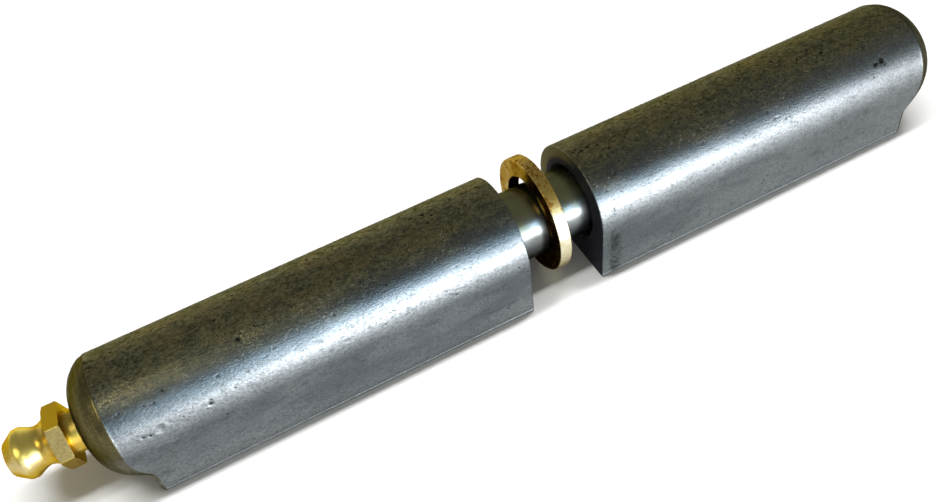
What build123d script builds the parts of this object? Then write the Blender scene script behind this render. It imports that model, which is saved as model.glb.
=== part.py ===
from build123d import *
import math
import os

# Weld-on hinge: two teardrop barrels on a loose pin, with a brass washer between them.
# +X runs along the pin from the grease half to the plain half, and the hinge lies on one flank.

# Driving dimensions in millimetres
BARREL_RADIUS = 9.0  # round back of the drawn bar
TIP_REACH = 9.45  # the tip's sharp corner, measured across from the pin's axis
TIP_ROUND = 0.45
BARREL_LENGTH = 64.3
EDGE_BREAK = 0.3  # on the inner end's outline

# The turned nose, as distances from the inner end and radii about the pin's axis
NOSE_START = 60.6
NOSE_FLAT_RADIUS = 3.9
NOSE_ARC = 6.2
STEP_PLACE = 58.45  # the foot of the tip's end face
STEP_RADIUS = 10.1
STEP_FILLET = 0.5
END_LEAN = 5.0  # degrees that the tip's end face leans outwards
TIP_CORNER_RADIUS = 12.75  # about the pin's axis, where the tip's corner is broken
TIP_CORNER_ROUND = 0.8

PIN_RADIUS = 5.5
PIN_LENGTH = 107.0
PIN_CHAMFER = 0.8
PIN_CLEARANCE = 0.05  # radial, in both bores
PIN_END_GAP = 0.5  # between the pin and the bottom of each bore when the hinge is closed
BORE_DEPTH = 53.0
BORE_CHAMFER = 0.6
DRILL_POINT = 118.0  # degrees

WASHER_OUTER_RADIUS = 9.2
WASHER_BORE_RADIUS = 6.25
WASHER_THICKNESS = 2.0
WASHER_EDGE = 0.2
WASHER_LEAN = 0.6  # the loose washer stands on its edge and leans this far back
GREASE_SIDE_GAP = 5.2  # from the washer to the grease half, as the hinge lies
PLAIN_SIDE_GAP = 5.0

# The nipple, as distances outwards from the nose's flat
THREAD_RADIUS = 3.0
THREAD_LENGTH = 5.5
THREAD_CHAMFER = 0.3
TAPPED_DEPTH = 6.0
GREASE_DUCT_RADIUS = 1.5
COLLAR_RADIUS = 3.1
COLLAR_LENGTH = 1.65
HEX_ACROSS_FLATS = 8.3
HEX_HEIGHT = 2.1
HEX_TURN = 49.0  # degrees from +Y towards +Z to one of its corners
HEX_CORNER_CUT = 0.35  # along the axis, where the outer face's corners are turned off
FLARE_RADIUS = 3.9
FLARE_HEIGHT = 0.2
NECK_RADIUS = 2.85
NECK_PLACE = 5.6
NECK_START = (-0.5, -1)  # the direction in which the flare leaves the hexagon
HEAD_RADIUS = 3.6
HEAD_BACK = 7.3
HEAD_FRONT = 8.2
MOUTH_FLAT_RADIUS = 2.35
NIPPLE_HEIGHT = 9.9

# The valve inside the nipple
BALL_RADIUS = 1.25
BALL_CLEARANCE = 0.15
MOUTH_RADIUS = 0.9
MOUTH_DEPTH = 0.75
SEAT_GAP = 0.03
VALVE_BORE_START = -3.9
OUTLET_RADIUS = 0.8
SPRING_WIRE_RADIUS = 0.17
SPRING_TURNS = 9

# What follows from them
BORE_RADIUS = PIN_RADIUS + PIN_CLEARANCE
HALF_GAP = (GREASE_SIDE_GAP + WASHER_THICKNESS + PLAIN_SIDE_GAP) / 2
WASHER_RISE = WASHER_OUTER_RADIUS - BARREL_RADIUS  # it rests on what the hinge lies on
NIPPLE_NOSE_X = -HALF_GAP - BARREL_LENGTH
VALVE_BORE_RADIUS = BALL_RADIUS + BALL_CLEARANCE
BEYOND_THE_BAR = 2 * BARREL_RADIUS
PIN_AXIS = Axis.X


def bar_section():
    """The teardrop outline across the pin, centred on the pin's axis."""
    tip_angle = math.atan2(-BARREL_RADIUS, -TIP_REACH)
    opening = math.acos(BARREL_RADIUS / math.hypot(TIP_REACH, BARREL_RADIUS))
    tangents = [
        (BARREL_RADIUS * math.cos(tip_angle + turn), BARREL_RADIUS * math.sin(tip_angle + turn))
        for turn in (-opening, opening)
    ]
    wedge = make_face(Polyline(tangents[0], (-TIP_REACH, -BARREL_RADIUS), tangents[1], (0, 0), close=True))
    outline = Circle(BARREL_RADIUS) + wedge
    tip = outline.vertices().sort_by(lambda v: v.X + v.Y)[0]
    return fillet(tip, TIP_ROUND)


def turned(points_and_edges):
    """A solid turned about the pin's axis from edges in the XY plane."""
    return revolve(make_face(points_and_edges), PIN_AXIS)


def nose_envelope():
    """What the form tool leaves: a domed nose, a short cone and the tip's leaning end face."""
    lean = math.tan(math.radians(END_LEAN))
    step = (STEP_PLACE, STEP_RADIUS)
    corner_place = STEP_PLACE + lean * (TIP_CORNER_RADIUS - STEP_RADIUS)
    corner = (corner_place, TIP_CORNER_RADIUS)
    rim = (corner_place - (BEYOND_THE_BAR - TIP_CORNER_RADIUS), BEYOND_THE_BAR)
    dome_foot = (NOSE_START, BARREL_RADIUS)
    dome_top = (BARREL_LENGTH, NOSE_FLAT_RADIUS)
    tip_end = FilletPolyline(
        (0, BEYOND_THE_BAR),
        rim,
        corner,
        step,
        dome_foot,
        radius=(TIP_CORNER_ROUND, TIP_CORNER_ROUND, STEP_FILLET),
    )
    dome = RadiusArc(dome_foot, dome_top, NOSE_ARC)
    closing = Polyline(dome_top, (BARREL_LENGTH, 0), (0, 0), (0, BEYOND_THE_BAR))
    return turned(tip_end + dome + closing)


def barrel_blank():
    """One barrel with its inner end at X = 0 and its nose towards +X, not yet bored."""
    bar = extrude(Plane.YZ * bar_section(), BARREL_LENGTH)
    outline = bar.faces().sort_by(PIN_AXIS)[0].edges()
    return chamfer(outline, EDGE_BREAK) & nose_envelope()


def pin_bore():
    """The drilled bore for the pin, with its chamfered mouth and the drill's point."""
    point = BORE_RADIUS / math.tan(math.radians(DRILL_POINT / 2))
    return turned(
        Polyline(
            (0, 0),
            (0, BORE_RADIUS + BORE_CHAMFER),
            (BORE_CHAMFER, BORE_RADIUS),
            (BORE_DEPTH, BORE_RADIUS),
            (BORE_DEPTH + point, 0),
            close=True,
        )
    )


def x_cylinder(radius, start, end):
    return Plane.YZ.offset(start) * Cylinder(radius, end - start, align=(Align.CENTER, Align.CENTER, Align.MIN))


def plain_barrel():
    return Pos(HALF_GAP, 0, 0) * (barrel_blank() - pin_bore())


def grease_barrel():
    duct = x_cylinder(GREASE_DUCT_RADIUS, BORE_DEPTH, BARREL_LENGTH)
    tapped = x_cylinder(THREAD_RADIUS, BARREL_LENGTH - TAPPED_DEPTH, BARREL_LENGTH)
    half = barrel_blank() - pin_bore() - duct - tapped
    return Pos(-HALF_GAP, 0, 0) * mirror(half, Plane.YZ)


def hinge_pin():
    plain_end = HALF_GAP + BORE_DEPTH - PIN_END_GAP
    pin = x_cylinder(PIN_RADIUS, plain_end - PIN_LENGTH, plain_end)
    return chamfer(pin.edges(), PIN_CHAMFER)


def thrust_washer():
    start = HALF_GAP - PLAIN_SIDE_GAP - WASHER_THICKNESS
    ring = x_cylinder(WASHER_OUTER_RADIUS, start, start + WASHER_THICKNESS)
    ring -= x_cylinder(WASHER_BORE_RADIUS, start, start + WASHER_THICKNESS)
    return Pos(0, WASHER_LEAN, WASHER_RISE) * chamfer(ring.edges(), WASHER_EDGE)


def outwards(distance):
    """The X of a place on the nipple, at a distance outwards from the nose's flat."""
    return NIPPLE_NOSE_X - distance


def hexagon():
    """The nipple's hexagon with its two faces' corners turned off."""
    base = outwards(COLLAR_LENGTH + HEX_HEIGHT)
    flats = RegularPolygon(HEX_ACROSS_FLATS / 2, 6, major_radius=False, rotation=HEX_TURN)
    prism = extrude(Plane.YZ.offset(base) * flats, HEX_HEIGHT)
    corner_radius = HEX_ACROSS_FLATS / math.sqrt(3)
    inner_cut = HEX_CORNER_CUT / 2
    envelope = turned(
        Polyline(
            (base, 0),
            (base, corner_radius - 2 * HEX_CORNER_CUT),
            (base + HEX_CORNER_CUT, corner_radius),
            (base + HEX_HEIGHT - inner_cut, corner_radius),
            (base + HEX_HEIGHT, corner_radius - 2 * inner_cut),
            (base + HEX_HEIGHT, 0),
            close=True,
        )
    )
    return prism & envelope


def nipple_outside():
    """Shank, collar, flared neck and ball-shaped head, turned in one piece with the hexagon."""
    flare_place = COLLAR_LENGTH + HEX_HEIGHT
    shank = Polyline(
        (outwards(NIPPLE_HEIGHT), 0),
        (outwards(-THREAD_LENGTH), 0),
        (outwards(-THREAD_LENGTH), THREAD_RADIUS - THREAD_CHAMFER),
        (outwards(-THREAD_LENGTH + THREAD_CHAMFER), THREAD_RADIUS),
        (outwards(0), THREAD_RADIUS),
        (outwards(0), COLLAR_RADIUS),
        (outwards(flare_place - FLARE_HEIGHT), COLLAR_RADIUS),
        (outwards(flare_place - FLARE_HEIGHT), FLARE_RADIUS),
        (outwards(flare_place), FLARE_RADIUS),
    )
    neck = Spline(
        (outwards(flare_place), FLARE_RADIUS),
        (outwards(NECK_PLACE), NECK_RADIUS),
        tangents=[NECK_START, (-1, 0)],
    )
    head = Polyline(
        (outwards(NECK_PLACE), NECK_RADIUS),
        (outwards(HEAD_BACK), HEAD_RADIUS),
        (outwards(HEAD_FRONT), HEAD_RADIUS),
        (outwards(NIPPLE_HEIGHT), MOUTH_FLAT_RADIUS),
        (outwards(NIPPLE_HEIGHT), 0),
    )
    return turned(shank + neck + head)


def seat_place():
    """Where the mouth meets the seat's 45 degree cone, outwards from the nose."""
    return NIPPLE_HEIGHT - MOUTH_DEPTH


def valve_bore():
    """The bore for ball and spring, its seat, the mouth and the small outlet behind."""
    cone = VALVE_BORE_RADIUS - MOUTH_RADIUS
    return turned(
        Polyline(
            (outwards(NIPPLE_HEIGHT), 0),
            (outwards(NIPPLE_HEIGHT), MOUTH_RADIUS),
            (outwards(seat_place()), MOUTH_RADIUS),
            (outwards(seat_place() - cone), VALVE_BORE_RADIUS),
            (outwards(VALVE_BORE_START), VALVE_BORE_RADIUS),
            (outwards(VALVE_BORE_START), OUTLET_RADIUS),
            (outwards(-THREAD_LENGTH), OUTLET_RADIUS),
            (outwards(-THREAD_LENGTH), 0),
            close=True,
        )
    )


def nipple_body():
    return nipple_outside() + hexagon() - valve_bore()


def ball_centre():
    """The ball's centre, outwards from the nose, with its seat gap from the 45 degree cone."""
    cone_apex = seat_place() + MOUTH_RADIUS
    return cone_apex - (BALL_RADIUS + SEAT_GAP) * math.sqrt(2)


def check_ball():
    return Pos(outwards(ball_centre()), 0, 0) * Sphere(BALL_RADIUS)


def check_spring():
    """An open coil between the ball and the step at the bore's inner end."""
    coil_radius = VALVE_BORE_RADIUS - BALL_CLEARANCE - SPRING_WIRE_RADIUS
    sink = BALL_RADIUS - math.sqrt(BALL_RADIUS**2 - coil_radius**2)
    near = ball_centre() - BALL_RADIUS + sink - 2 * SPRING_WIRE_RADIUS
    length = near - VALVE_BORE_START - 2 * SPRING_WIRE_RADIUS
    start = outwards(near)
    path = Helix(length / SPRING_TURNS, length, coil_radius, center=(start, 0, 0), direction=(1, 0, 0))
    wire = Plane(path @ 0, z_dir=path % 0) * Circle(SPRING_WIRE_RADIUS)
    return sweep(wire, path, is_frenet=True)


def main():
    pieces = {
        "plain_barrel": plain_barrel(),
        "grease_barrel": grease_barrel(),
        "hinge_pin": hinge_pin(),
        "thrust_washer": thrust_washer(),
        "nipple_body": nipple_body(),
        "check_ball": check_ball(),
        "check_spring": check_spring(),
    }
    # The origin is under the middle of the whole hinge, on the surface that it lies on.
    front = bar_section().bounding_box().min.X
    back = WASHER_OUTER_RADIUS + WASHER_LEAN
    to_frame = Pos(NIPPLE_HEIGHT / 2, -(front + back) / 2, BARREL_RADIUS)
    os.makedirs("parts", exist_ok=True)
    for name, piece in pieces.items():
        export_step(to_frame * piece, f"parts/{name}.step")
    print("The pin's axis is at Y", to_frame.position.Y, "and Z", to_frame.position.Z)


main()
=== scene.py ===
# %% [markdown]
# # A weld-on hinge
#
# Two teardrop steel barrels turn on a loose pin, with a brass washer between them and a
# grease nipple in one end. The working model already fixes every size and place, so this
# lesson dresses it: it turns each piece on an imaginary lathe, gives it its small wear,
# and then its finish, its light and its camera.

# %% Load the working model
import math
import random

import bmesh
import bpy
from mathutils import Matrix, Vector, kdtree, noise


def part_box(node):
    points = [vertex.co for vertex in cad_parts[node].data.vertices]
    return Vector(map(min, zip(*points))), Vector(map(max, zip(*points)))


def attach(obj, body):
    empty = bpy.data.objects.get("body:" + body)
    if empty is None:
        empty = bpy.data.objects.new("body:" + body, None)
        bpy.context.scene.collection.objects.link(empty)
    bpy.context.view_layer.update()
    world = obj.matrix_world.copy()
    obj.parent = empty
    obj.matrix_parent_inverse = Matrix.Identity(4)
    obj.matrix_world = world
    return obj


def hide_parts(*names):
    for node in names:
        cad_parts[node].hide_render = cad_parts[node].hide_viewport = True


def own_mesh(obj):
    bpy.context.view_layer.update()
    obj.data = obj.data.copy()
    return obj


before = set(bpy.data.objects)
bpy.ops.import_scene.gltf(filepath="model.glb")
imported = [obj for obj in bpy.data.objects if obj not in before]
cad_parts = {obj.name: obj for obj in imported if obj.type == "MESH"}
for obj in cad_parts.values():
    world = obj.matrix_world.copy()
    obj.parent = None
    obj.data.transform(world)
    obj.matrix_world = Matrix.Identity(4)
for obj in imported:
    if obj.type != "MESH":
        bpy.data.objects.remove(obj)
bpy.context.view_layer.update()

MM = 0.001


# %% [markdown]
# ## Where things are
#
# A hinge like this has one line that matters, the pin's axis. The pin's box gives that
# line, and the other boxes give the two inner faces, the washer and the nose. Reading
# them is better than typing them, because they then follow the model if it changes.

# %% Read the axis and the places along it
def box_mm(node):
    """The lowest and highest corner of a node, in millimetres."""
    low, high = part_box(node)
    return low / MM, high / MM


pin_low, pin_high = box_mm("hinge_pin")
AXIS_Y = (pin_low.y + pin_high.y) / 2
AXIS_Z = (pin_low.z + pin_high.z) / 2
PIN_RADIUS = (pin_high.z - pin_low.z) / 2
GREASE_FACE = box_mm("grease_barrel")[1].x
GREASE_NOSE = box_mm("grease_barrel")[0].x
PLAIN_FACE = box_mm("plain_barrel")[0].x
BARREL_LENGTH = GREASE_FACE - GREASE_NOSE
washer_low, washer_high = box_mm("thrust_washer")
print("The axis is at Y", round(AXIS_Y, 3), "and Z", round(AXIS_Z, 3))
print("Each barrel is", round(BARREL_LENGTH, 2), "mm long")

# %% [markdown]
# ## Profiles for the lathe
#
# Nearly every surface here is turned, so a piece starts as a profile: a few points in a
# half plane, given as a place along the axis and a radius. Corners are broken with a small
# vertex bevel, as a file or a tumbler breaks them. The long edges are divided afterwards,
# so that the spun skin has cells of an even size for the dents and pits that come later.

# %% Helpers for profiles
SAME_POINT = 1e-5


def profile(points, closed=False):
    """A bmesh holding one chain of edges through (place, radius) points."""
    bm = bmesh.new()
    verts = [bm.verts.new((place, radius, 0)) for place, radius in points]
    for a, b in zip(verts, verts[1:]):
        bm.edges.new((a, b))
    if closed:
        bm.edges.new((verts[-1], verts[0]))
    return bm


def nearest(bm, place, radius):
    """The profile's vertex at a corner."""
    return min(bm.verts, key=lambda v: (v.co.x - place) ** 2 + (v.co.y - radius) ** 2)


def round_corners(bm, corners, size, segments=3):
    """Breaks some corners of a profile, as a file does."""
    verts = [nearest(bm, *corner) for corner in corners]
    bmesh.ops.bevel(
        bm, geom=verts, offset=size, segments=segments, profile=0.5, affect="VERTICES", material=-1
    )


def divide(bm, edge, cell):
    """Cuts an edge that is longer than a cell into even steps."""
    cuts = math.ceil(edge.calc_length() / cell) - 1
    if cuts > 0:
        bmesh.ops.subdivide_edges(bm, edges=[edge], cuts=cuts)


def divide_all(bm, cell):
    for edge in list(bm.edges):
        divide(bm, edge, cell)


def turn(bm, columns):
    """Spins a profile round the X axis into a closed skin."""
    bmesh.ops.spin(
        bm,
        geom=list(bm.verts) + list(bm.edges),
        cent=(0, 0, 0),
        axis=(1, 0, 0),
        angle=2 * math.pi,
        steps=columns,
        use_merge=True,
    )
    bmesh.ops.remove_doubles(bm, verts=bm.verts, dist=SAME_POINT)
    bmesh.ops.recalc_face_normals(bm, faces=bm.faces)


# %% [markdown]
# ## From a bmesh to a piece
#
# The frame wants every piece at the origin, in metres, with its place in its mesh. So the
# mesh is worked in millimetres round an axis through the origin and moved at the very end.
# Edges that turn sharply stay sharp, and all others shade smoothly.

# %% Helper that makes the piece
SHARP_TURN = math.radians(32)


def make_piece(bm, name, body, node):
    """Places a finished bmesh in the frame and lets it stand for its node."""
    bmesh.ops.translate(bm, verts=bm.verts, vec=(0, AXIS_Y, AXIS_Z))
    bmesh.ops.scale(bm, verts=bm.verts, vec=(MM, MM, MM))
    mesh = bpy.data.meshes.new(name)
    bm.to_mesh(mesh)
    bm.free()
    mesh.shade_smooth()
    mesh.set_sharp_from_angle(angle=SHARP_TURN)
    piece = bpy.data.objects.new(name, mesh)
    bpy.context.scene.collection.objects.link(piece)
    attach(piece, body)
    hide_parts(node)
    mesh.calc_loop_triangles()
    print(name, "has", len(mesh.loop_triangles), "triangles")
    return piece


# %% [markdown]
# ## The teardrop barrels
#
# The real barrel is cold drawn bar with a round back and a sharp tip. One end is faced and
# bored, and a form tool turns the other into a nose, which also cuts away the end of the
# tip. A boolean of bar and nose would give long thin faces that can't take dents. Instead
# the round blank is spun first, and then its tip is pulled out column by column: each
# column of vertices goes out to the flanks, and its end follows the form tool's line.

# %% The barrel's sizes
BARREL_RADIUS = 9.0
TIP_REACH = 9.45
TIP_ROUND = 0.45
EDGE_BREAK = 0.16
EDGE_HOLD = 0.06  # a narrow cell beside a broken edge, which keeps its shading tight
LIP_SIZE = 0.42  # the rounded line where the nose begins
LIP_DROP = 0.18
NOSE_START = 60.6
NOSE_FLAT_RADIUS = 3.9
NOSE_ARC = 6.2
STEP_PLACE = 58.45
STEP_RADIUS = 10.1
STEP_FILLET = 0.5
END_LEAN = math.radians(5)
TIP_CORNER_RADIUS = 12.75
TIP_CORNER_ROUND = 0.8
PIN_CLEARANCE = 0.05
BORE_RADIUS = PIN_RADIUS + PIN_CLEARANCE
BORE_DEPTH = 53.0
BORE_CHAMFER = 0.6
DRILL_HALF_ANGLE = math.radians(59)
TAPPED_RADIUS = 3.0
TAPPED_DEPTH = 6.0
DUCT_RADIUS = 1.5

# %% The form tool's line
def dome_place(radius):
    """Where the domed nose lies at a radius, from its arc."""
    start = Vector((NOSE_START, BARREL_RADIUS))
    end = Vector((BARREL_LENGTH, NOSE_FLAT_RADIUS))
    chord = end - start
    sagitta = math.sqrt(NOSE_ARC**2 - (chord.length / 2) ** 2)
    inwards = Vector((chord.y, -chord.x)).normalized()
    centre = (start + end) / 2 + inwards * sagitta
    return centre.x + math.sqrt(max(NOSE_ARC**2 - (radius - centre.y) ** 2, 0))


def end_face_place(radius):
    """Where the tip's end face, which leans outwards, lies at a radius."""
    return STEP_PLACE + (radius - STEP_RADIUS) * math.tan(END_LEAN)


def form_place(radius):
    """Where the form tool stops at a radius: dome, cone, the tip's end face and its corner."""
    if radius <= NOSE_FLAT_RADIUS:
        return BARREL_LENGTH
    if radius <= BARREL_RADIUS:
        return dome_place(radius)
    cone_slope = (NOSE_START - STEP_PLACE) / (STEP_RADIUS - BARREL_RADIUS)
    cone = NOSE_START - (radius - BARREL_RADIUS) * cone_slope
    corner = end_face_place(TIP_CORNER_RADIUS) + TIP_CORNER_RADIUS - radius
    stepped = soft_most(cone, end_face_place(radius), STEP_FILLET)
    return soft_least(stepped, corner, TIP_CORNER_ROUND)


def soft_most(a, b, size):
    """The larger of two numbers, rounded where they cross."""
    reach = max(size - abs(a - b), 0)
    return max(a, b) + reach**2 / (4 * size)


def soft_least(a, b, size):
    return -soft_most(-a, -b, size)


print("The tip ends", round(form_place(STEP_RADIUS), 2), "mm from the inner face")

# %% The bar's outline
FLANK_TURN = 2 * math.acos(BARREL_RADIUS / math.hypot(TIP_REACH, BARREL_RADIUS))
BOTTOM_NORMAL = -math.pi / 2
FRONT_NORMAL = BOTTOM_NORMAL - FLANK_TURN
tip_bisector = (BOTTOM_NORMAL + FRONT_NORMAL) / 2
tip_centre_reach = (BARREL_RADIUS - TIP_ROUND) / math.cos(FLANK_TURN / 2)


def outline_radius(angle):
    """How far the bar reaches in a direction, where it is a circle, a flank or the rounded tip."""
    off = abs(math.remainder(angle - tip_bisector, 2 * math.pi))
    if off >= FLANK_TURN / 2:
        return BARREL_RADIUS
    flank = BARREL_RADIUS / math.cos(FLANK_TURN / 2 - off)
    across = tip_centre_reach * math.sin(off)
    if across >= TIP_ROUND:
        return flank
    return min(flank, tip_centre_reach * math.cos(off) + math.sqrt(TIP_ROUND**2 - across**2))


print("The outline reaches", round(outline_radius(tip_bisector), 2), "mm at the tip")

# %% Turn the blank
CELL = 0.31
COLUMNS = 360
MARGIN = 0.1


def blank_profile(with_nipple_hole):
    """The barrel's profile, from the middle of its nose round to the middle of its bore."""
    held = EDGE_BREAK + EDGE_HOLD
    skin = [(BARREL_LENGTH, NOSE_FLAT_RADIUS), (NOSE_START, BARREL_RADIUS)]
    skin += [(NOSE_START - LIP_SIZE - EDGE_HOLD, BARREL_RADIUS), (held, BARREL_RADIUS)]
    skin += [(0, BARREL_RADIUS), (0, BARREL_RADIUS - held)]
    nose, drilled_to = [(BARREL_LENGTH, 0)], 0
    if with_nipple_hole:
        depth = BARREL_LENGTH - TAPPED_DEPTH
        nose = [(depth, DUCT_RADIUS), (depth, TAPPED_RADIUS), (BARREL_LENGTH, TAPPED_RADIUS)]
        drilled_to = DUCT_RADIUS
    point = (BORE_RADIUS - drilled_to) / math.tan(DRILL_HALF_ANGLE)
    bore = [(0, BORE_RADIUS + BORE_CHAMFER), (BORE_CHAMFER, BORE_RADIUS)]
    bore += [(BORE_DEPTH, BORE_RADIUS), (BORE_DEPTH + point, drilled_to)]
    bm = profile(nose + skin + bore, closed=with_nipple_hole)
    round_corners(bm, [(0, BARREL_RADIUS)], EDGE_BREAK, segments=4)
    round_corners(bm, [(NOSE_START, BARREL_RADIUS)], LIP_SIZE)
    return bm


def divide_skin(bm):
    """Divides what shows: the drawn skin, the nose and the faced end. The bore keeps long cells."""
    outside = [e for e in bm.edges if min(v.co.y for v in e.verts) > BORE_RADIUS + MARGIN]
    slope = [e for e in bm.edges if max(v.co.x for v in e.verts) > NOSE_START and e not in outside]
    for edge in outside + [e for e in slope if max(v.co.y for v in e.verts) > NOSE_FLAT_RADIUS]:
        on_nose = max(v.co.x for v in edge.verts) > NOSE_START + MARGIN
        divide(bm, edge, CELL / 2 if on_nose else CELL)


# %% Pull out the tip
TIP_WARP = 0.3
WARP_REACH = math.radians(60)
PULL_START = 50.0
EDGE_WEAR = 0.7
NEAR = 0.01
NOSE, LIP, FACED, DRAWN, INSIDE = range(5)


def zone(place, radius):
    """Which cut of the blank a vertex belongs to."""
    if place > NOSE_START and NOSE_FLAT_RADIUS - NEAR < radius < BARREL_RADIUS - LIP_DROP:
        return NOSE
    if radius > BARREL_RADIUS - EDGE_BREAK - NEAR:
        return LIP if place > NOSE_START - LIP_SIZE - NEAR else DRAWN
    if place < NEAR and radius > BORE_RADIUS + BORE_CHAMFER:
        return FACED
    return INSIDE


def gather_columns(angle):
    """Moves columns closer together round the tip, where the outline turns sharply."""
    off = math.remainder(angle - tip_bisector, 2 * math.pi)
    share = min(abs(off) / WARP_REACH, 1)
    return tip_bisector + off * (TIP_WARP + (1 - TIP_WARP) * share)


def pull_out(vert, drawn_layer, edge_layer):
    """Moves a vertex from the round blank to the bar, and notes if it is drawn or on the tip."""
    place, radius = vert.co.x, math.hypot(vert.co.y, vert.co.z)
    angle = gather_columns(math.atan2(vert.co.z, vert.co.y))
    rim = outline_radius(angle)
    kind = zone(place, radius)
    if kind == NOSE:
        share = (BARREL_RADIUS - radius) / (BARREL_RADIUS - NOSE_FLAT_RADIUS)
        radius = rim + (NOSE_FLAT_RADIUS - rim) * share
        place = form_place(radius)
    elif kind in (DRAWN, LIP):
        radius += rim - BARREL_RADIUS
        if place > PULL_START:
            stretch = (form_place(rim) - PULL_START) / (NOSE_START - PULL_START)
            place = PULL_START + (place - PULL_START) * stretch
    elif kind == FACED:
        inner = BORE_RADIUS + BORE_CHAMFER
        radius += (rim - BARREL_RADIUS) * (radius - inner) / (BARREL_RADIUS - EDGE_BREAK - inner)
    vert.co = (place, radius * math.cos(angle), radius * math.sin(angle))
    vert[drawn_layer] = 1.0 if kind == DRAWN else 0.0
    off_tip = abs(math.remainder(angle - tip_bisector, 2 * math.pi)) * rim
    vert[edge_layer] = max(0.0, 1 - off_tip / EDGE_WEAR) if kind == DRAWN else 0.0


# %% [markdown]
# ## Wear that has depth
#
# Drawn bar isn't flat to the light: its skin waves a little along the draw, and it carries
# pits from scale that was pulled in, and dints from lying in a bin with its fellows. These
# have real depth, so they go into the mesh. A pit is a narrow cup, a dint is a wide one
# with a raised lip. Most lie where a seeded draw puts them, and the few large ones that
# catch the eye are listed one by one, as distances along the bar and degrees round it.

# %% The wear's sizes
WAVE_HEIGHT = 0.012
WAVE_LENGTH = 9.0
WAVE_STRETCH = 3  # a wave is this many times longer along the bar
PITS = 1500
PIT_LEAST, PIT_MOST = 0.12, 0.38
PIT_DEPTH = 0.2  # as a share of its radius
PIT_PATCH = 6.0
PIT_PATCH_LEVEL = 0.3
PIT_MORE_ON_TOP = 0.22
PIT_RAGGED = 0.5
PIT_RAGGED_SCALE = 2.2
CUP_REACH = 2.2  # times its radius, beyond which a cup is flat
CUP_STEEPNESS = 1.5
RAISED_LIP, RAISED_LIP_PLACE, RAISED_LIP_STEEPNESS = 0.18, 1.25, 3
RAISED_MOST = 0.01

GREASE_MARKS = [
    # along the bar from the inner face, degrees round from +Y, radius, depth, how full of dirt
    (56.6, 158, 0.38, 0.10, 1.0),
    (55.8, 159, 0.32, 0.10, 1.0),
    (54.4, 157, 0.62, 0.12, 0.1),
    (47.4, 156, 0.46, 0.13, 1.0),
    (53.0, 155, 0.35, 0.08, 0.4),
    (45.2, 136, 0.30, 0.08, 1.0),
    (53.7, 134, 0.30, 0.06, 0.7),
    (59.3, 81, 0.42, 0.06, 0.8),
    (48.1, 112, 0.30, 0.05, 0.7),
    (40.9, 115, 0.55, 0.10, 1.0),
    (40.3, 112, 0.35, 0.06, 1.0),
    (42.8, 90, 0.36, 0.08, 1.0),
    (11.1, 77, 0.46, 0.08, 1.0),
    (11.1, 89, 0.42, 0.08, 1.0),
    (10.0, 83, 0.34, 0.06, 1.0),
    (12.4, 84, 0.30, 0.06, 0.9),
    (19.5, 114, 0.30, 0.06, 1.0),
    (28.4, 131, 0.30, 0.06, 0.8),
    (20.7, 151, 0.30, 0.06, 0.9),
]
PLAIN_MARKS = [
    (52.7, 132, 0.85, 0.05, 1.0),
    (51.5, 133, 0.60, 0.04, 1.0),
    (53.3, 136, 0.30, 0.05, 0.6),
    (31.8, 139, 0.30, 0.08, 1.0),
    (50.8, 112, 0.40, 0.05, 0.6),
    (36.9, 82, 0.42, 0.07, 1.0),
    (37.4, 92, 0.38, 0.06, 1.0),
    (42.9, 89, 0.36, 0.06, 0.9),
    (45.6, 90, 0.32, 0.06, 0.9),
    (44.6, 98, 0.36, 0.06, 0.9),
    (23.7, 93, 0.36, 0.06, 0.9),
    (40.4, 94, 0.30, 0.06, 0.9),
    (3.2, 85, 0.46, 0.12, 1.0),
    (4.7, 88, 0.40, 0.10, 1.0),
    (1.5, 82, 0.40, 0.10, 1.0),
    (2.1, 87, 0.34, 0.08, 1.0),
]
print("Marks placed by hand:", len(GREASE_MARKS), "and", len(PLAIN_MARKS))


# %% Wear helpers
def cup(distance, radius):
    """A cup's depth, 1 at its middle, with a low lip round it."""
    share = distance / radius
    lip = math.exp(-(((share - RAISED_LIP_PLACE) * RAISED_LIP_STEEPNESS) ** 2))
    return math.exp(-((share * CUP_STEEPNESS) ** 2)) - RAISED_LIP * lip


def scatter_pits(skin, seed):
    """Pits where a seeded draw puts them: centre, radius, depth and dirt of each."""
    draw = random.Random(seed)
    pits = []
    for _ in range(PITS):
        place = draw.choice(skin).co.copy()
        radius = PIT_LEAST + (PIT_MOST - PIT_LEAST) * draw.random() ** 3
        patch = noise.noise(place / PIT_PATCH + Vector((0, seed, 0)))
        if patch + PIT_MORE_ON_TOP * place.z / BARREL_RADIUS > PIT_PATCH_LEVEL:
            pits.append((place, radius, radius * PIT_DEPTH * draw.random(), draw.random()))
    return pits


def place_mark(along, degrees, radius, deep, dirt):
    angle = math.radians(degrees)
    rim = outline_radius(angle)
    return Vector((along, rim * math.cos(angle), rim * math.sin(angle))), radius, deep, dirt


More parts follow.
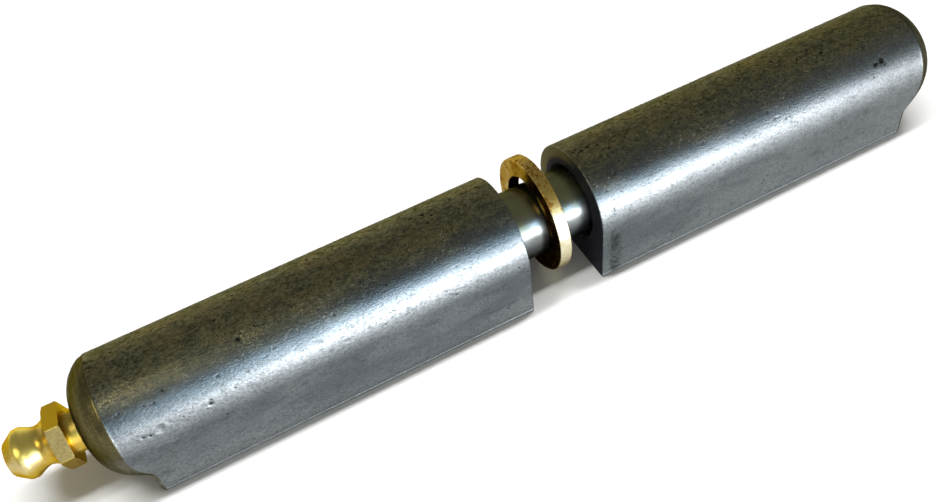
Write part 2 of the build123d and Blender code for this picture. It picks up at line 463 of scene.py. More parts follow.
def wear(bm, marks, seed):
    """Pushes waves, pits and dints in along the normals. The pit layer remembers their dirt."""
    pit_layer = bm.verts.layers.float.new("pit")
    drawn_layer = bm.verts.layers.float["drawn"]
    skin = [v for v in bm.verts if v[drawn_layer] > 0.5]
    tree = kdtree.KDTree(len(skin))
    for i, vert in enumerate(skin):
        tree.insert(vert.co, i)
    tree.balance()
    bm.normal_update()
    depth = [0.0] * len(skin)
    spots = scatter_pits(skin, seed) + [place_mark(*mark) for mark in marks]
    for centre, radius, deep, dirt in spots:
        for co, i, distance in tree.find_range(centre, radius * CUP_REACH):
            ragged = distance * (1 + PIT_RAGGED * noise.noise(co * PIT_RAGGED_SCALE))
            depth[i] += deep * cup(ragged, radius)
            skin[i][pit_layer] = min(1.0, skin[i][pit_layer] + dirt * max(0.0, cup(ragged, radius)))
    for i, vert in enumerate(skin):
        along = Vector((vert.co.x / WAVE_STRETCH, vert.co.y, vert.co.z)) / WAVE_LENGTH
        wave = WAVE_HEIGHT * (noise.noise(along + Vector((seed, 0, 0))) - 1)
        vert.co += vert.normal * (wave - max(depth[i], -RAISED_MOST))


# %% Make both barrels
def make_barrel(name, body, face, outwards, marks, seed):
    """One barrel. outwards is -1 for the half whose nose points to -X."""
    bm = blank_profile(with_nipple_hole=outwards < 0)
    divide_skin(bm)
    turn(bm, COLUMNS)
    drawn_layer = bm.verts.layers.float.new("drawn")
    edge_layer = bm.verts.layers.float.new("edge")
    turned_layer = bm.faces.layers.float.new("turned")
    for vert in bm.verts:
        pull_out(vert, drawn_layer, edge_layer)
    for facet in bm.faces:
        facet[turned_layer] = 0.0 if all(v[drawn_layer] > 0.5 for v in facet.verts) else 1.0
    wear(bm, marks, seed)
    bmesh.ops.scale(bm, verts=bm.verts, vec=(outwards, 1, 1))
    bmesh.ops.translate(bm, verts=bm.verts, vec=(face, 0, 0))
    bmesh.ops.recalc_face_normals(bm, faces=bm.faces)
    return make_piece(bm, name + "_skin", body, name)


grease_barrel = make_barrel(
    "grease_barrel", "grease_half", GREASE_FACE, outwards=-1, marks=GREASE_MARKS, seed=3
)
plain_barrel = make_barrel(
    "plain_barrel", "plain_half", PLAIN_FACE, outwards=1, marks=PLAIN_MARKS, seed=8
)

# %% [markdown]
# ## The pin
#
# The pin is ground bar with both ends chamfered. It only shows in the gap, and along its
# whole length when the hinge is lifted apart, so its ends are finished too: the chamfers'
# corners are broken, and the grinding itself is left to the material.

# %% Make the pin
PIN_CHAMFER = 0.8
PIN_EDGE = 0.12
PIN_CELL = 1.2
PIN_COLUMNS = 160


def make_pin():
    start, end = pin_low.x, pin_high.x
    corners = [
        (start, PIN_RADIUS - PIN_CHAMFER),
        (start + PIN_CHAMFER, PIN_RADIUS),
        (end - PIN_CHAMFER, PIN_RADIUS),
        (end, PIN_RADIUS - PIN_CHAMFER),
    ]
    bm = profile([(start, 0)] + corners + [(end, 0)])
    round_corners(bm, corners, PIN_EDGE)
    divide_all(bm, PIN_CELL)
    turn(bm, PIN_COLUMNS)
    return make_piece(bm, "hinge_pin_ground", "pin", "hinge_pin")


hinge_pin = make_pin()

# %% [markdown]
# ## The washer
#
# A brass washer parted off from bar keeps the tool's fine rings on its faces, and its
# corners are only just broken. The rings are cut into the mesh here: each ring of vertices
# sinks by a few microns, by a seeded draw, so that the face glitters in arcs.

# %% Make the washer
WASHER_BORE_RADIUS = 6.25
WASHER_EDGE = 0.22
WASHER_CELL = 0.12
WASHER_COLUMNS = 300
RING_DEPTH = 0.006
RING_SEED = 5
RIM_WOBBLE = 0.03
WOBBLE_SCALE = Vector((0.18, 0.9, 0.9))
washer_centre = (washer_low + washer_high) / 2


def make_washer():
    outer = (washer_high.z - washer_low.z) / 2
    start, end = washer_low.x, washer_high.x
    corners = [(start, WASHER_BORE_RADIUS), (start, outer), (end, outer), (end, WASHER_BORE_RADIUS)]
    bm = profile(corners, closed=True)
    round_corners(bm, corners, WASHER_EDGE)
    divide_all(bm, WASHER_CELL)
    draw = random.Random(RING_SEED)
    for vert in bm.verts:
        inwards = math.copysign(1, washer_centre.x - vert.co.x)
        vert.co.x += inwards * RING_DEPTH * draw.random()
    turn(bm, WASHER_COLUMNS)
    bm.normal_update()
    for vert in bm.verts:
        wobble = noise.noise(vert.co * WOBBLE_SCALE) - 1
        vert.co += vert.normal * RIM_WOBBLE * wobble
    off_axis = (0, washer_centre.y - AXIS_Y, washer_centre.z - AXIS_Z)
    bmesh.ops.translate(bm, verts=bm.verts, vec=off_axis)
    return make_piece(bm, "thrust_washer_turned", "washer", "thrust_washer")


thrust_washer = make_washer()

# %% [markdown]
# ## The grease nipple
#
# A nipple is turned from hexagon bar. The lathe makes all but the hexagon, so it is spun as
# a round blank that is as wide as the hexagon's corners, chamfers included. Then every
# vertex that stands outside one of the six flats is pressed back on to it, as if the flats
# were milled. The arcs where a flat runs into a chamfer come out of that by themselves.

# %% The nipple's sizes, outwards from the nose's flat
THREAD_RADIUS = 3.0
THREAD_LENGTH = 5.5
THREAD_CHAMFER = 0.3
COLLAR_RADIUS = 3.1
COLLAR_LENGTH = 1.65
HEX_ACROSS_FLATS = 8.3
HEX_HEIGHT = 2.1
HEX_TURN = math.radians(49)
HEX_CUT = 0.22
FLARE_RADIUS = 3.9
FLARE_CURVE = 2.2
NECK_RADIUS = 2.85
NECK_PLACE = 5.6
WAIST_STEPS = 16
HEAD_RADIUS = 3.6
HEAD_CURVE = 1.4
HEAD_BACK = 7.3
HEAD_FRONT = 8.2
HEAD_EDGE = 0.25
MOUTH_FLAT_RADIUS = 2.35
MOUTH_FLAT_EDGE = 0.2
MOUTH_RADIUS = 0.9
MOUTH_EDGE = 0.08
NIPPLE_HEIGHT = 9.9
MOUTH_DEPTH = 0.75
VALVE_BORE_RADIUS = 1.4
VALVE_BORE_START = -3.9
OUTLET_RADIUS = 0.8
NIPPLE_CELL = 0.11
NIPPLE_COLUMNS = 300


def neck_radius(place):
    """The waist between the flare and the head's back edge."""
    if place < NECK_PLACE:
        share = (NECK_PLACE - place) / (NECK_PLACE - COLLAR_LENGTH - HEX_HEIGHT)
        return NECK_RADIUS + (FLARE_RADIUS - NECK_RADIUS) * share**FLARE_CURVE
    share = (place - NECK_PLACE) / (HEAD_BACK - NECK_PLACE)
    return NECK_RADIUS + (HEAD_RADIUS - NECK_RADIUS) * share**HEAD_CURVE


def nipple_profile():
    """Round the nipple from its shank's end, over the outside, and back through the valve's bore."""
    corner = HEX_ACROSS_FLATS / math.sqrt(3)
    top = COLLAR_LENGTH + HEX_HEIGHT
    seat = NIPPLE_HEIGHT - MOUTH_DEPTH
    shank = [(-THREAD_LENGTH, OUTLET_RADIUS), (-THREAD_LENGTH, THREAD_RADIUS - THREAD_CHAMFER)]
    shank += [(-THREAD_LENGTH + THREAD_CHAMFER, THREAD_RADIUS), (0, THREAD_RADIUS)]
    collar = [(0, COLLAR_RADIUS), (COLLAR_LENGTH, COLLAR_RADIUS)]
    hexagon = [(COLLAR_LENGTH, corner - HEX_CUT), (COLLAR_LENGTH + HEX_CUT / 2, corner)]
    hexagon += [(top - HEX_CUT, corner)]
    hexagon += [(top, corner - 2 * HEX_CUT), (top, FLARE_RADIUS)]
    waist_places = [top + (HEAD_BACK - top) * i / WAIST_STEPS for i in range(1, WAIST_STEPS)]
    waist = [(place, neck_radius(place)) for place in waist_places]
    head = [(HEAD_BACK, HEAD_RADIUS), (HEAD_FRONT, HEAD_RADIUS)]
    mouth = [(NIPPLE_HEIGHT, MOUTH_FLAT_RADIUS), (NIPPLE_HEIGHT, MOUTH_RADIUS), (seat, MOUTH_RADIUS)]
    valve = [(seat - VALVE_BORE_RADIUS + MOUTH_RADIUS, VALVE_BORE_RADIUS)]
    valve += [(VALVE_BORE_START, VALVE_BORE_RADIUS), (VALVE_BORE_START, OUTLET_RADIUS)]
    bm = profile(shank + collar + hexagon + waist + head + mouth + valve, closed=True)
    round_corners(bm, [(HEAD_BACK, HEAD_RADIUS), (HEAD_FRONT, HEAD_RADIUS)], HEAD_EDGE)
    round_corners(bm, [(NIPPLE_HEIGHT, MOUTH_FLAT_RADIUS)], MOUTH_FLAT_EDGE)
    round_corners(bm, [(NIPPLE_HEIGHT, MOUTH_RADIUS)], MOUTH_EDGE)
    return bm


def mill_flats(bm):
    """Presses what stands outside the six flats back on to them, and notes what lies there."""
    flat_layer = bm.verts.layers.float.new("flat")
    reach = HEX_ACROSS_FLATS / 2
    for vert in bm.verts:
        radius = math.hypot(vert.co.y, vert.co.z)
        angle = math.atan2(vert.co.z, vert.co.y)
        off = math.remainder(angle - HEX_TURN - math.pi / 6, math.pi / 3)
        flat = reach / math.cos(off)
        if radius > flat:
            vert.co.y *= flat / radius
            vert.co.z *= flat / radius
            vert[flat_layer] = 1.0


def make_nipple():
    bm = nipple_profile()
    divide_all(bm, NIPPLE_CELL)
    turn(bm, NIPPLE_COLUMNS)
    turned_round = Matrix.Rotation(HEX_TURN, 3, "X")
    bmesh.ops.rotate(bm, verts=bm.verts, cent=(0, 0, 0), matrix=turned_round)
    mill_flats(bm)
    bmesh.ops.scale(bm, verts=bm.verts, vec=(-1, 1, 1))
    bmesh.ops.translate(bm, verts=bm.verts, vec=(GREASE_NOSE, 0, 0))
    bmesh.ops.recalc_face_normals(bm, faces=bm.faces)
    return make_piece(bm, "nipple_turned", "grease_half", "nipple_body")


nipple = make_nipple()

# %% [markdown]
# ## The nipple's spring
#
# The small coil spring behind the ball gets shorter when a grease gun presses the ball in. A
# rigid mesh can't do that. The spring is coiled here by a spin that also moves along the
# axis, and it gets a mesh of its own.

# %% Coil the spring
SPRING_WIRE_RADIUS = 0.17
SPRING_TURNS = 9
STEPS_A_TURN = 28
WIRE_SIDES = 12


def make_spring():
    low, high = box_mm("check_spring")
    coil_radius = (high.z - low.z) / 2 - SPRING_WIRE_RADIUS
    start, end = low.x + SPRING_WIRE_RADIUS, high.x - SPRING_WIRE_RADIUS
    steps = SPRING_TURNS * STEPS_A_TURN
    bm = bmesh.new()
    place = Matrix.Translation((start, coil_radius, 0))
    bmesh.ops.create_circle(bm, segments=WIRE_SIDES, radius=SPRING_WIRE_RADIUS, matrix=place)
    bmesh.ops.spin(
        bm,
        geom=list(bm.verts) + list(bm.edges),
        cent=(0, 0, 0),
        axis=(1, 0, 0),
        dvec=((end - start) / steps, 0, 0),
        angle=2 * math.pi * SPRING_TURNS,
        steps=steps,
    )
    bmesh.ops.holes_fill(bm, edges=[e for e in bm.edges if e.is_boundary], sides=0)
    bmesh.ops.recalc_face_normals(bm, faces=bm.faces)
    spring = make_piece(bm, "check_spring_coiled", "grease_half", "check_spring")
    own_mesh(spring)
    return spring


check_spring = make_spring()

# %% [markdown]
# ## Writing a finish as arithmetic
#
# A finish is a sum of patterns, and sums read best as sums. The small class below wraps a
# node's socket, so that adding two of them adds a Math node. Colours are never added that
# way, because a Math node would turn them grey: they go through the Mix node.

# %% A class for shader sums
class Pattern:
    """One value of a material, which can be added, multiplied and shaped."""

    def __init__(self, bench, socket):
        self.bench, self.socket = bench, socket

    def sum_with(self, operation, first, second):
        return self.bench.node("ShaderNodeMath", {"operation": operation}, {0: first, 1: second})

    def __add__(self, other):
        return self.sum_with("ADD", self, other)

    def __sub__(self, other):
        return self.sum_with("SUBTRACT", self, other)

    def __mul__(self, other):
        return self.sum_with("MULTIPLY", self, other)

    def __pow__(self, other):
        return self.sum_with("POWER", self, other)

    def __radd__(self, other):
        return self.sum_with("ADD", other, self)

    def __rsub__(self, other):
        return self.sum_with("SUBTRACT", other, self)

    def __rmul__(self, other):
        return self.sum_with("MULTIPLY", other, self)

    def rise(self, low, high):
        """A mask that climbs smoothly from 0 at low to 1 at high."""
        settings = {"interpolation_type": "SMOOTHSTEP"}
        return self.bench.node("ShaderNodeMapRange", settings, {0: self, 1: low, 2: high})


class Bench:
    """The bench on which one material is made."""

    def __init__(self, name):
        self.material = bpy.data.materials.new(name)
        self.material.use_nodes = True
        self.tree = self.material.node_tree
        self.shader = self.tree.nodes["Principled BSDF"]

    def node(self, kind, settings=None, inputs=None, output=0):
        """Adds a node, sets it up, links or fills its sockets, and returns one output."""
        made = self.tree.nodes.new(kind)
        for name, value in (settings or {}).items():
            setattr(made, name, value)
        for name, value in (inputs or {}).items():
            self.feed(made.inputs[name], value)
        return Pattern(self, made.outputs[output])

    def feed(self, socket, value):
        if isinstance(value, Pattern):
            self.tree.links.new(value.socket, socket)
        else:
            socket.default_value = value

    def places(self):
        """Object coordinates in millimetres, measured from the pin's axis."""
        coordinates = self.node("ShaderNodeTexCoord", output=3)
        to_mm = {0: coordinates, 3: 1 / MM}
        scaled = self.node("ShaderNodeVectorMath", {"operation": "SCALE"}, to_mm)
        axis = (0, AXIS_Y, AXIS_Z)
        return self.node("ShaderNodeVectorMath", {"operation": "SUBTRACT"}, {0: scaled, 1: axis})

    def axes(self, places):
        return [self.node("ShaderNodeSeparateXYZ", inputs={0: places}, output=i) for i in range(3)]

    def stretched(self, places, scale):
        """Places scaled by a different number along each axis."""
        return self.node("ShaderNodeVectorMath", {"operation": "MULTIPLY"}, {0: places, 1: scale})

    def noise(self, places, scale=1.0, detail=4.0, roughness=0.55):
        inputs = {"Vector": places, "Scale": scale, "Detail": detail, "Roughness": roughness}
        return self.node("ShaderNodeTexNoise", inputs=inputs)

    def rings(self, radius, along, scale, detail, roughness):
        """A turned face's rings, which change only with the distance from the axis."""
        inputs = {0: radius, 1: along * 0.02, 2: 0.0}
        places = self.node("ShaderNodeCombineXYZ", inputs=inputs)
        return self.noise(places, scale, detail, roughness)

    def blend(self, factor, first, second):
        """A colour between two others."""
        settings = {"data_type": "RGBA"}
        return self.node("ShaderNodeMix", settings, {0: factor, 6: first, 7: second}, output=2)

    def relief(self, height, depth_mm):
        """A bump of some depth, from a height between 0 and 1."""
        inputs = {"Height": height, "Distance": depth_mm * MM, "Strength": 1.0}
        return self.node("ShaderNodeBump", inputs=inputs)

    def attribute(self, name):
        return self.node("ShaderNodeAttribute", {"attribute_name": name}, output=2)

    def finish(self, **sockets):
        for name, value in sockets.items():
            self.feed(self.shader.inputs[name.replace("_", " ")], value)
        return self.material


def paint(node_or_piece, material):
    """Gives a piece, or the working model's own node, one material."""
    node_or_piece.data.materials.clear()
    node_or_piece.data.materials.append(material)


def colour(red, green, blue):
    return (red, green, blue, 1.0)


# %% [markdown]
# ## Drawn bar, oiled
#
# The barrels are bright drawn steel under a thin old film of oil. Along the bar run the
# die's fine lines. The upper side has gone a dark olive brown with specks of scale, partly
# from its oil and partly painted shade, and the front keeps a cooler, cleaner grey with
# smudges, a painted highlight band and a painted lighter low flank. The nose and the inner
# faces are turned, so they have rings, not lines; the nose is painted darker low down and
# at the nipple, and grease and painted shade blacken the faces round the pin.

# %% The barrels' colours
WIPED_DARK, WIPED_LIGHT = colour(0.125, 0.14, 0.152), colour(0.188, 0.204, 0.216)
DIE_LINE = colour(0.24, 0.26, 0.27)
LOW_FLANK_PAINTED_LIGHT = colour(0.27, 0.29, 0.3)
FAR_END = colour(0.25, 0.27, 0.285)
PAINTED_HIGHLIGHT_BAND = colour(0.25, 0.265, 0.275)
DARK_GRAIN = colour(0.07, 0.08, 0.086)
OIL_AND_SHADE_THICK, OIL_AND_SHADE_THIN = colour(0.11, 0.115, 0.075), colour(0.34, 0.33, 0.205)
OIL_GRAIN = colour(0.06, 0.062, 0.04)
BROWN_PATCH = colour(0.27, 0.21, 0.095)
PALE_CRUMB, DARK_CRUMB = colour(0.44, 0.41, 0.27), colour(0.035, 0.036, 0.027)
SCALE_FLECK = colour(0.02, 0.02, 0.015)
SMUDGE = colour(0.055, 0.06, 0.065)
PIT_DIRT = colour(0.015, 0.015, 0.012)
WORN_TIP = colour(0.34, 0.35, 0.36)
SMEAR = colour(0.02, 0.022, 0.022)
NOSE_SHADED_LOW, NOSE_LIT_HIGH = colour(0.06, 0.052, 0.028), colour(0.19, 0.165, 0.075)
NOSE_UNDERSIDE = colour(0.24, 0.235, 0.2)
PLAIN_NOSE = colour(0.13, 0.137, 0.13)
NOSE_STAIN = colour(0.05, 0.045, 0.025)
NOSE_RING = colour(0.035, 0.03, 0.018)
NOSE_GRAIN = colour(0.03, 0.027, 0.015)
SHADE_AT_NIPPLE = colour(0.01, 0.01, 0.01)
GREASE_AND_SHADE_DARK, GREASE_AND_SHADE_LIGHT = colour(0.055, 0.058, 0.08), colour(0.085, 0.088, 0.105)
PAINTED_LIGHT_RIM = colour(0.18, 0.165, 0.10)
DRAWN_AT_EDGE = colour(0.35, 0.34, 0.27)  # what the metal mirrors at a grazing angle


# %% The skin that the die left
def drawn_skin(bench, places, x, y, z):
    """The drawn skin's colour, roughness and height, and two patterns that the nose uses too."""

    def pattern(stretch, scale, detail, roughness):
        return bench.noise(bench.stretched(places, stretch), scale, detail, roughness)

    lines = pattern((0.05, 5.0, 5.0), 1.0, 3.0, 0.6)
    cloud = pattern((0.35, 1.0, 1.0), 0.16, 6.0, 0.62)
    mottle = pattern((0.5, 1.0, 1.0), 1.3, 8.0, 0.8)
    grain = pattern((0.75, 1.0, 1.0), 3.4, 4.0, 0.75)
    flecks = pattern((0.65, 1.0, 1.0), 1.7, 5.0, 0.78)
    patch = pattern((0.5, 1.0, 1.0), 0.28, 4.0, 0.6)
    crumbs = pattern((0.6, 1.0, 1.0), 2.4, 6.0, 0.8)
    smudges = pattern((0.6, 0.8, 0.8), 0.6, 7.0, 0.75)

    upper = (z * 0.75 + y * 0.55 + (cloud - 0.5) * 7).rise(1.2, 6.2)
    facing_up = z + y * 0.2
    # A band below the lamp's highlight is painted lighter: a painted highlight that carries it
    # further down.
    painted_highlight = facing_up.rise(-0.8, 1.2) * (1 - facing_up.rise(2.6, 4.0))
    clean = bench.blend(cloud.rise(0.4, 0.6), WIPED_DARK, WIPED_LIGHT)
    clean = bench.blend((lines - 0.35) * 0.3, clean, DIE_LINE)
    # Towards the bottom the flank is painted lighter: painted light that offsets the floor's shadow
    # which it mirrors.
    clean = bench.blend((1 - z.rise(-8.6, -3.5)) * 0.45, clean, LOW_FLANK_PAINTED_LIGHT)
    clean = bench.blend(x.rise(22.0, 60.0) * 0.5, clean, FAR_END)
    clean = bench.blend(painted_highlight * 0.7, clean, PAINTED_HIGHLIGHT_BAND)
    clean = bench.blend(grain.rise(0.42, 0.64) * 0.6, clean, DARK_GRAIN)

    # The upper side's dark olive film is oil and painted shade.
    oil_film_and_shade = upper * (0.75 + 0.5 * mottle)
    oil_and_painted_light = bench.blend(mottle.rise(0.36, 0.64), OIL_AND_SHADE_THICK, OIL_AND_SHADE_THIN)
    oil_and_painted_light = bench.blend(grain.rise(0.44, 0.6) * 0.75, oil_and_painted_light, OIL_GRAIN)
    skin = bench.blend(oil_film_and_shade, clean, oil_and_painted_light)
    brown = (patch * 0.5 + mottle * 0.5).rise(0.42, 0.6) * upper
    skin = bench.blend(brown * 0.45, skin, BROWN_PATCH)
    skin = bench.blend(crumbs.rise(0.54, 0.64) * oil_film_and_shade * 0.5, skin, PALE_CRUMB)
    dark_crumb = (1 - crumbs.rise(0.36, 0.45)) * (0.3 + 0.6 * oil_film_and_shade)
    skin = bench.blend(dark_crumb, skin, DARK_CRUMB)
    fleck = flecks.rise(0.56, 0.64) * patch.rise(0.4, 0.54) * (0.25 + 0.75 * upper)
    skin = bench.blend(fleck * 0.9, skin, SCALE_FLECK)
    smudge = smudges.rise(0.5, 0.7) * (1 - upper)
    skin = bench.blend(smudge * 0.45, skin, SMUDGE)

    rough = 0.24 + 0.08 * cloud + 0.08 * oil_film_and_shade * mottle + 0.25 * fleck + 0.1 * smudge
    rough = rough + 0.13 * (1 - facing_up.rise(-0.6, 4.2))
    height = lines * 0.25 + grain * 1.2 - fleck * 0.8
    return skin, rough, height, mottle, grain


# %% What the lathe left
def turned_ends(bench, x, y, z, rings, mottle, grain):
    """The colour and roughness of the noses, far out, and of the inner faces, dark with grease and
    painted shade.
    """
    radius = (y * y + z * z) ** 0.5
    # The nose is painted darker low down and lighter high up: painted shade and painted light.
    high = (z + y * 0.4).rise(-5.0, 5.0)
    nose = bench.blend(high, NOSE_SHADED_LOW, NOSE_LIT_HIGH)
    nose = bench.blend((1 - (z + y * 0.5).rise(-4.5, -1.0)) * 0.8, nose, NOSE_UNDERSIDE)
    nose = bench.blend(x.rise(-10, 10) * 0.8, nose, PLAIN_NOSE)
    nose = bench.blend(mottle.rise(0.42, 0.6) * 0.4, nose, NOSE_STAIN)
    nose = bench.blend(rings.rise(0.35, 0.65) * 0.3, nose, NOSE_RING)
    nose = bench.blend(grain.rise(0.42, 0.62) * 0.4, nose, NOSE_GRAIN)
    # Round the nipple the nose is painted near black: painted shade where the nose meets the nipple.
    nose = bench.blend((1 - (radius + mottle).rise(4.8, 7.0)) * 0.95, nose, SHADE_AT_NIPPLE)
    # The inner faces are near black from grease and painted shade.
    greased_and_shaded = bench.blend(mottle.rise(0.35, 0.7), GREASE_AND_SHADE_DARK, GREASE_AND_SHADE_LIGHT)
    # Their upper rim is painted a lighter olive: painted light.
    painted_light_rim = (radius + mottle * 0.8).rise(7.2, 7.9) * (y + z * 0.3).rise(0.5, 4.0)
    greased_and_shaded = bench.blend(painted_light_rim, greased_and_shaded, PAINTED_LIGHT_RIM)
    far_out = (x * x).rise(200.0, 500.0)
    return bench.blend(far_out, greased_and_shaded, nose), 0.58 - 0.24 * far_out


# %% The barrels' steel
def drawn_steel():
    bench = Bench("barrel_steel")
    places = bench.places()
    x, y, z = bench.axes(places)
    skin, rough, height, mottle, grain = drawn_skin(bench, places, x, y, z)
    skin = bench.blend(bench.attribute("pit").rise(0.15, 0.7) * 0.9, skin, PIT_DIRT)
    worn = bench.attribute("edge") * (0.1 + 0.4 * mottle)
    skin = bench.blend(worn, skin, WORN_TIP)
    from_face = x - PLAIN_FACE
    smear = from_face.rise(0.9, 1.7) * (1 - from_face.rise(2.2, 3.8))
    smear = smear * (1 - z.rise(-1.5, 2.0)) * (1 - y.rise(-6, 0))
    smear = smear * (mottle * 0.5 + grain * 0.5).rise(0.42, 0.56)
    skin = bench.blend(smear * 0.85, skin, SMEAR)

    turned = bench.attribute("turned")
    rings = bench.rings((y * y + z * z) ** 0.5, x, 3.5, 2.0, 0.5)
    cut_face, cut_rough = turned_ends(bench, x, y, z, rings, mottle, grain)
    heights = height * (1 - turned) + rings * turned * 0.5
    return bench.finish(
        Base_Color=bench.blend(turned, skin, cut_face),
        Metallic=1.0,
        Roughness=rough + turned * (cut_rough - rough),
        Specular_Tint=DRAWN_AT_EDGE,
        Normal=bench.relief(heights, 0.03),
    )


barrel_steel = drawn_steel()
for barrel in (grease_barrel, plain_barrel):
    paint(barrel, barrel_steel)
print("The barrels' steel has", len(barrel_steel.node_tree.nodes), "nodes")

# %% [markdown]
# ## Ground pin, and the valve's ball and spring
#
# Grinding leaves fine rings round the pin, so the pattern changes mostly along the axis. The
# same idea serves the spring's wire and the ball with other numbers. Only the pin has oil
# and a painted olive reflection on its top, painted shade at its back and a darker underside.

# %% The pin's, the ball's and the spring's steel
PIN_OIL_AND_REFLECTION = colour(0.28, 0.275, 0.155)
PIN_BACK_SHADE = colour(0.03, 0.028, 0.016)
PIN_UNDERSIDE = colour(0.03, 0.033, 0.036)
GROUND_AT_EDGE = colour(0.4, 0.39, 0.32)


def ground_steel(name, bright, dull, rough, oil_and_painted_light=False):
    bench = Bench(name)
    places = bench.places()
    rings = bench.noise(bench.stretched(places, (9.0, 0.25, 0.25)), 1.0, 3.0, 0.6)
    cloud = bench.noise(places, 0.4, 4.0, 0.6)
    base = bench.blend(cloud.rise(0.35, 0.7), bright, dull)
    base = bench.blend((rings - 0.4) * 0.6, base, dull)
    if oil_and_painted_light:
        _, y, z = bench.axes(places)
        upper = (z + y * 0.5 + (cloud - 0.5) * 4).rise(1.0, 4.5)
        back = (y + (cloud - 0.5) * 2).rise(-1.0, 3.0)
        # The top is oil with a painted olive reflection of the room, and the back is painted darker:
        # painted shade.
        base = bench.blend(upper, base, PIN_OIL_AND_REFLECTION)
        base = bench.blend(back * 0.75, base, PIN_BACK_SHADE)
        low = 1 - (z + (cloud - 0.5) * 1.5).rise(0.0, 1.8)
        base = bench.blend(low * 0.75, base, PIN_UNDERSIDE)
    return bench.finish(
        Base_Color=base,
        Metallic=1.0,
        Roughness=rough + 0.08 * cloud,
        Specular_Tint=GROUND_AT_EDGE,
        Normal=bench.relief(rings, 0.004),
    )


pin_steel = ground_steel(
    "pin_steel", colour(0.24, 0.26, 0.27), colour(0.15, 0.16, 0.155), 0.22, oil_and_painted_light=True
)
ball_steel = ground_steel("ball_steel", colour(0.5, 0.5, 0.5), colour(0.4, 0.4, 0.39), 0.12)
spring_steel = ground_steel("spring_steel", colour(0.4, 0.4, 0.4), colour(0.22, 0.22, 0.21), 0.25)
paint(hinge_pin, pin_steel)
paint(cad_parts["check_ball"], ball_steel)
paint(check_spring, spring_steel)
print("Ground steels:", pin_steel.name, ball_steel.name, spring_steel.name)

# %% [markdown]
# ## Brass, stained and clean
#
# Both brasses are the same metal with a different life. The washer has been handled and
# heated: it is stained orange brown on top and on its faces, and grease and painted shade
# blacken the front of its faces and its bore, save a painted glint near the bore. The nipple
# came clean from its bag, bright and yellow, with only a little dirt in its waist, a painted
# highlight on the front of its head, and a painted lighter top on its head and its upper flat.

# %% The washer's brass
RIM_DEEP, RIM_PALE = colour(0.62, 0.56, 0.38), colour(0.78, 0.72, 0.55)
RIM_UNDERSIDE = colour(0.30, 0.27, 0.16)
RIM_TOP = colour(0.6, 0.42, 0.12)
WASHER_FACE = colour(0.44, 0.30, 0.09)
HEAT_STAIN = colour(0.22, 0.08, 0.012)
GREASE_AND_SHADE_BLACK = colour(0.018, 0.012, 0.008)
WASHER_AT_EDGE = colour(0.42, 0.35, 0.22)


def stained_brass():
    bench = Bench("washer_brass")
    places = bench.places()
    x, y, z = bench.axes(places)
    across, upwards = y - (washer_centre.y - AXIS_Y), z - (washer_centre.z - AXIS_Z)
    radius = (across * across + upwards * upwards) ** 0.5
    rings = bench.rings(radius, x, 7.0, 3.0, 0.6)
    cloud = bench.noise(places, 0.55, 5.0, 0.65)
    fine = bench.noise(places, 2.6, 4.0, 0.65)
    middle = x - washer_centre.x
    on_face = (middle * middle).rise(0.8, 0.97)
    on_top = (z + (cloud - 0.5) * 3).rise(5.4, 7.6)
    yellow = on_top + on_face * (1 - on_top)
    base = bench.blend(cloud.rise(0.4, 0.6), RIM_DEEP, RIM_PALE)
    base = bench.blend((1 - z.rise(-3.5, 0.0)) * 0.7, base, RIM_UNDERSIDE)
    base = bench.blend(yellow, base, bench.blend(on_face, RIM_TOP, WASHER_FACE))
    stain = (fine * 0.6 + cloud * 0.4).rise(0.49, 0.59) * (0.1 + 0.8 * yellow)
    base = bench.blend(stain, base, HEAT_STAIN)
    # A gold patch near the bore, where the blackening below is lifted, is a painted glint.
    painted_highlight = 1 - (z - 5.9 + (fine - 0.5) * 2).rise(0.0, 0.9)
    painted_highlight = painted_highlight * (z + (fine - 0.5) * 2).rise(4.4, 5.2) * (1 - radius.rise(7.0, 7.5))
    # The front of the faces and the bore are blackened by grease and painted shade.
    greasy_and_shaded = on_face * (1.6 - y + (cloud - 0.5) * 4).rise(0.0, 1.6)
    greasy_and_shaded = greasy_and_shaded * (1 - painted_highlight * 0.9)
    in_bore = 1 - radius.rise(6.3, 6.5)
    base = bench.blend(greasy_and_shaded + in_bore - greasy_and_shaded * in_bore, base, GREASE_AND_SHADE_BLACK)
    return bench.finish(
        Base_Color=base,
        Metallic=1.0,
        Roughness=0.30 + 0.14 * cloud + 0.1 * stain,
        Specular_Tint=WASHER_AT_EDGE,
        Normal=bench.relief(rings + fine * 0.4, 0.012),
    )


washer_brass = stained_brass()
paint(thrust_washer, washer_brass)
print("The washer's brass has", len(washer_brass.node_tree.nodes), "nodes")

# %% The nipple's brass
BRASS_DEEP, BRASS_PALE = colour(0.55, 0.39, 0.065), colour(0.69, 0.54, 0.16)
WAIST_DIRT = colour(0.42, 0.24, 0.02)
HEAD_PAINTED_HIGHLIGHT = colour(0.58, 0.54, 0.39)
HEAD_TOP_PAINTED_LIGHT = colour(0.88, 0.70, 0.18)
HEAD_UNDERSIDE = colour(0.40, 0.28, 0.045)
MILLED_LIGHT, MILLED_DARK = colour(0.31, 0.23, 0.09), colour(0.23, 0.165, 0.06)
MILLED_TOP_PAINTED_LIGHT = colour(0.92, 0.6, 0.05)
BRASS_AT_EDGE = colour(0.7, 0.5, 0.12)


